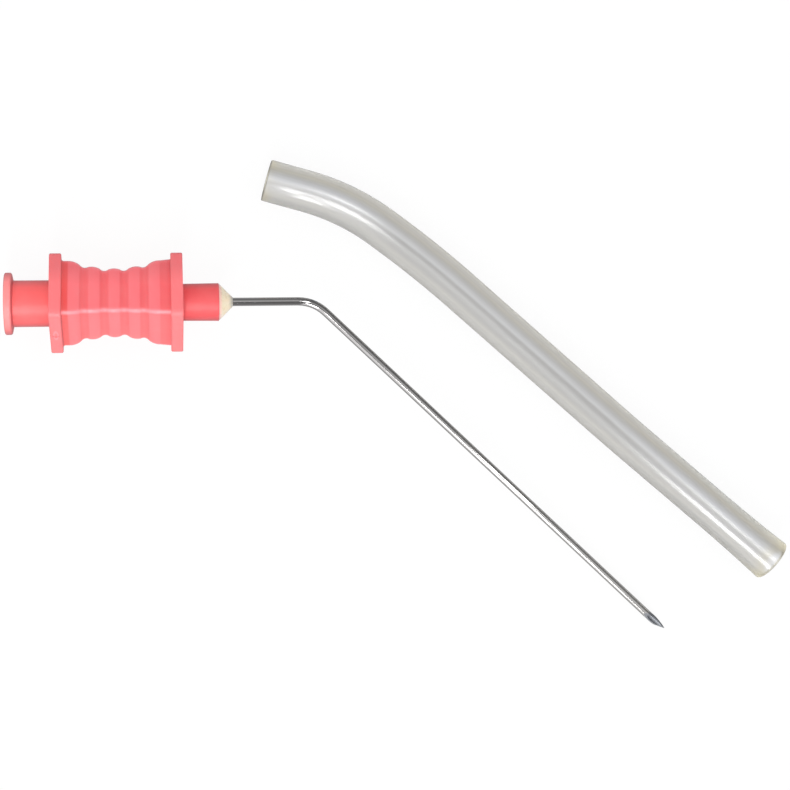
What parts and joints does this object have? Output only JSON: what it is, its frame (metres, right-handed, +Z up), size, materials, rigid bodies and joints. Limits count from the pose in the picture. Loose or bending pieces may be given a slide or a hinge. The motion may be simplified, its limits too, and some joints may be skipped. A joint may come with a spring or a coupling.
{
  "type": "paracentesis needle",
  "caption": "Bent hollow steel needle with a lancet point, glued into a ribbed square plastic grip with a luer socket, and its clear bent cover tube lying beside it.",
  "frame": {"origin": "centre of the mouth of the luer socket, on the hub's axis", "axes": "+X along the level hub from the socket towards the point, +Z up from the table that it rests on, +Y to the side away from the bent leg"},
  "size_m": [0.1018, 0.0625, 0.0126],
  "materials": {
    "pink_plastic": "injection-moulded translucent pink, glossy",
    "epoxy": "cured cream adhesive, smooth",
    "steel_tube": "drawn and polished stainless tube, ground at the bevel",
    "clear_vinyl": "clear soft extruded tube, glossy"
  },
  "bodies": {
    "root": {"hub": "pink_plastic", "adhesive_cone": "epoxy", "cannula": "steel_tube", "sheath": "clear_vinyl"}
  },
  "joints": []
}
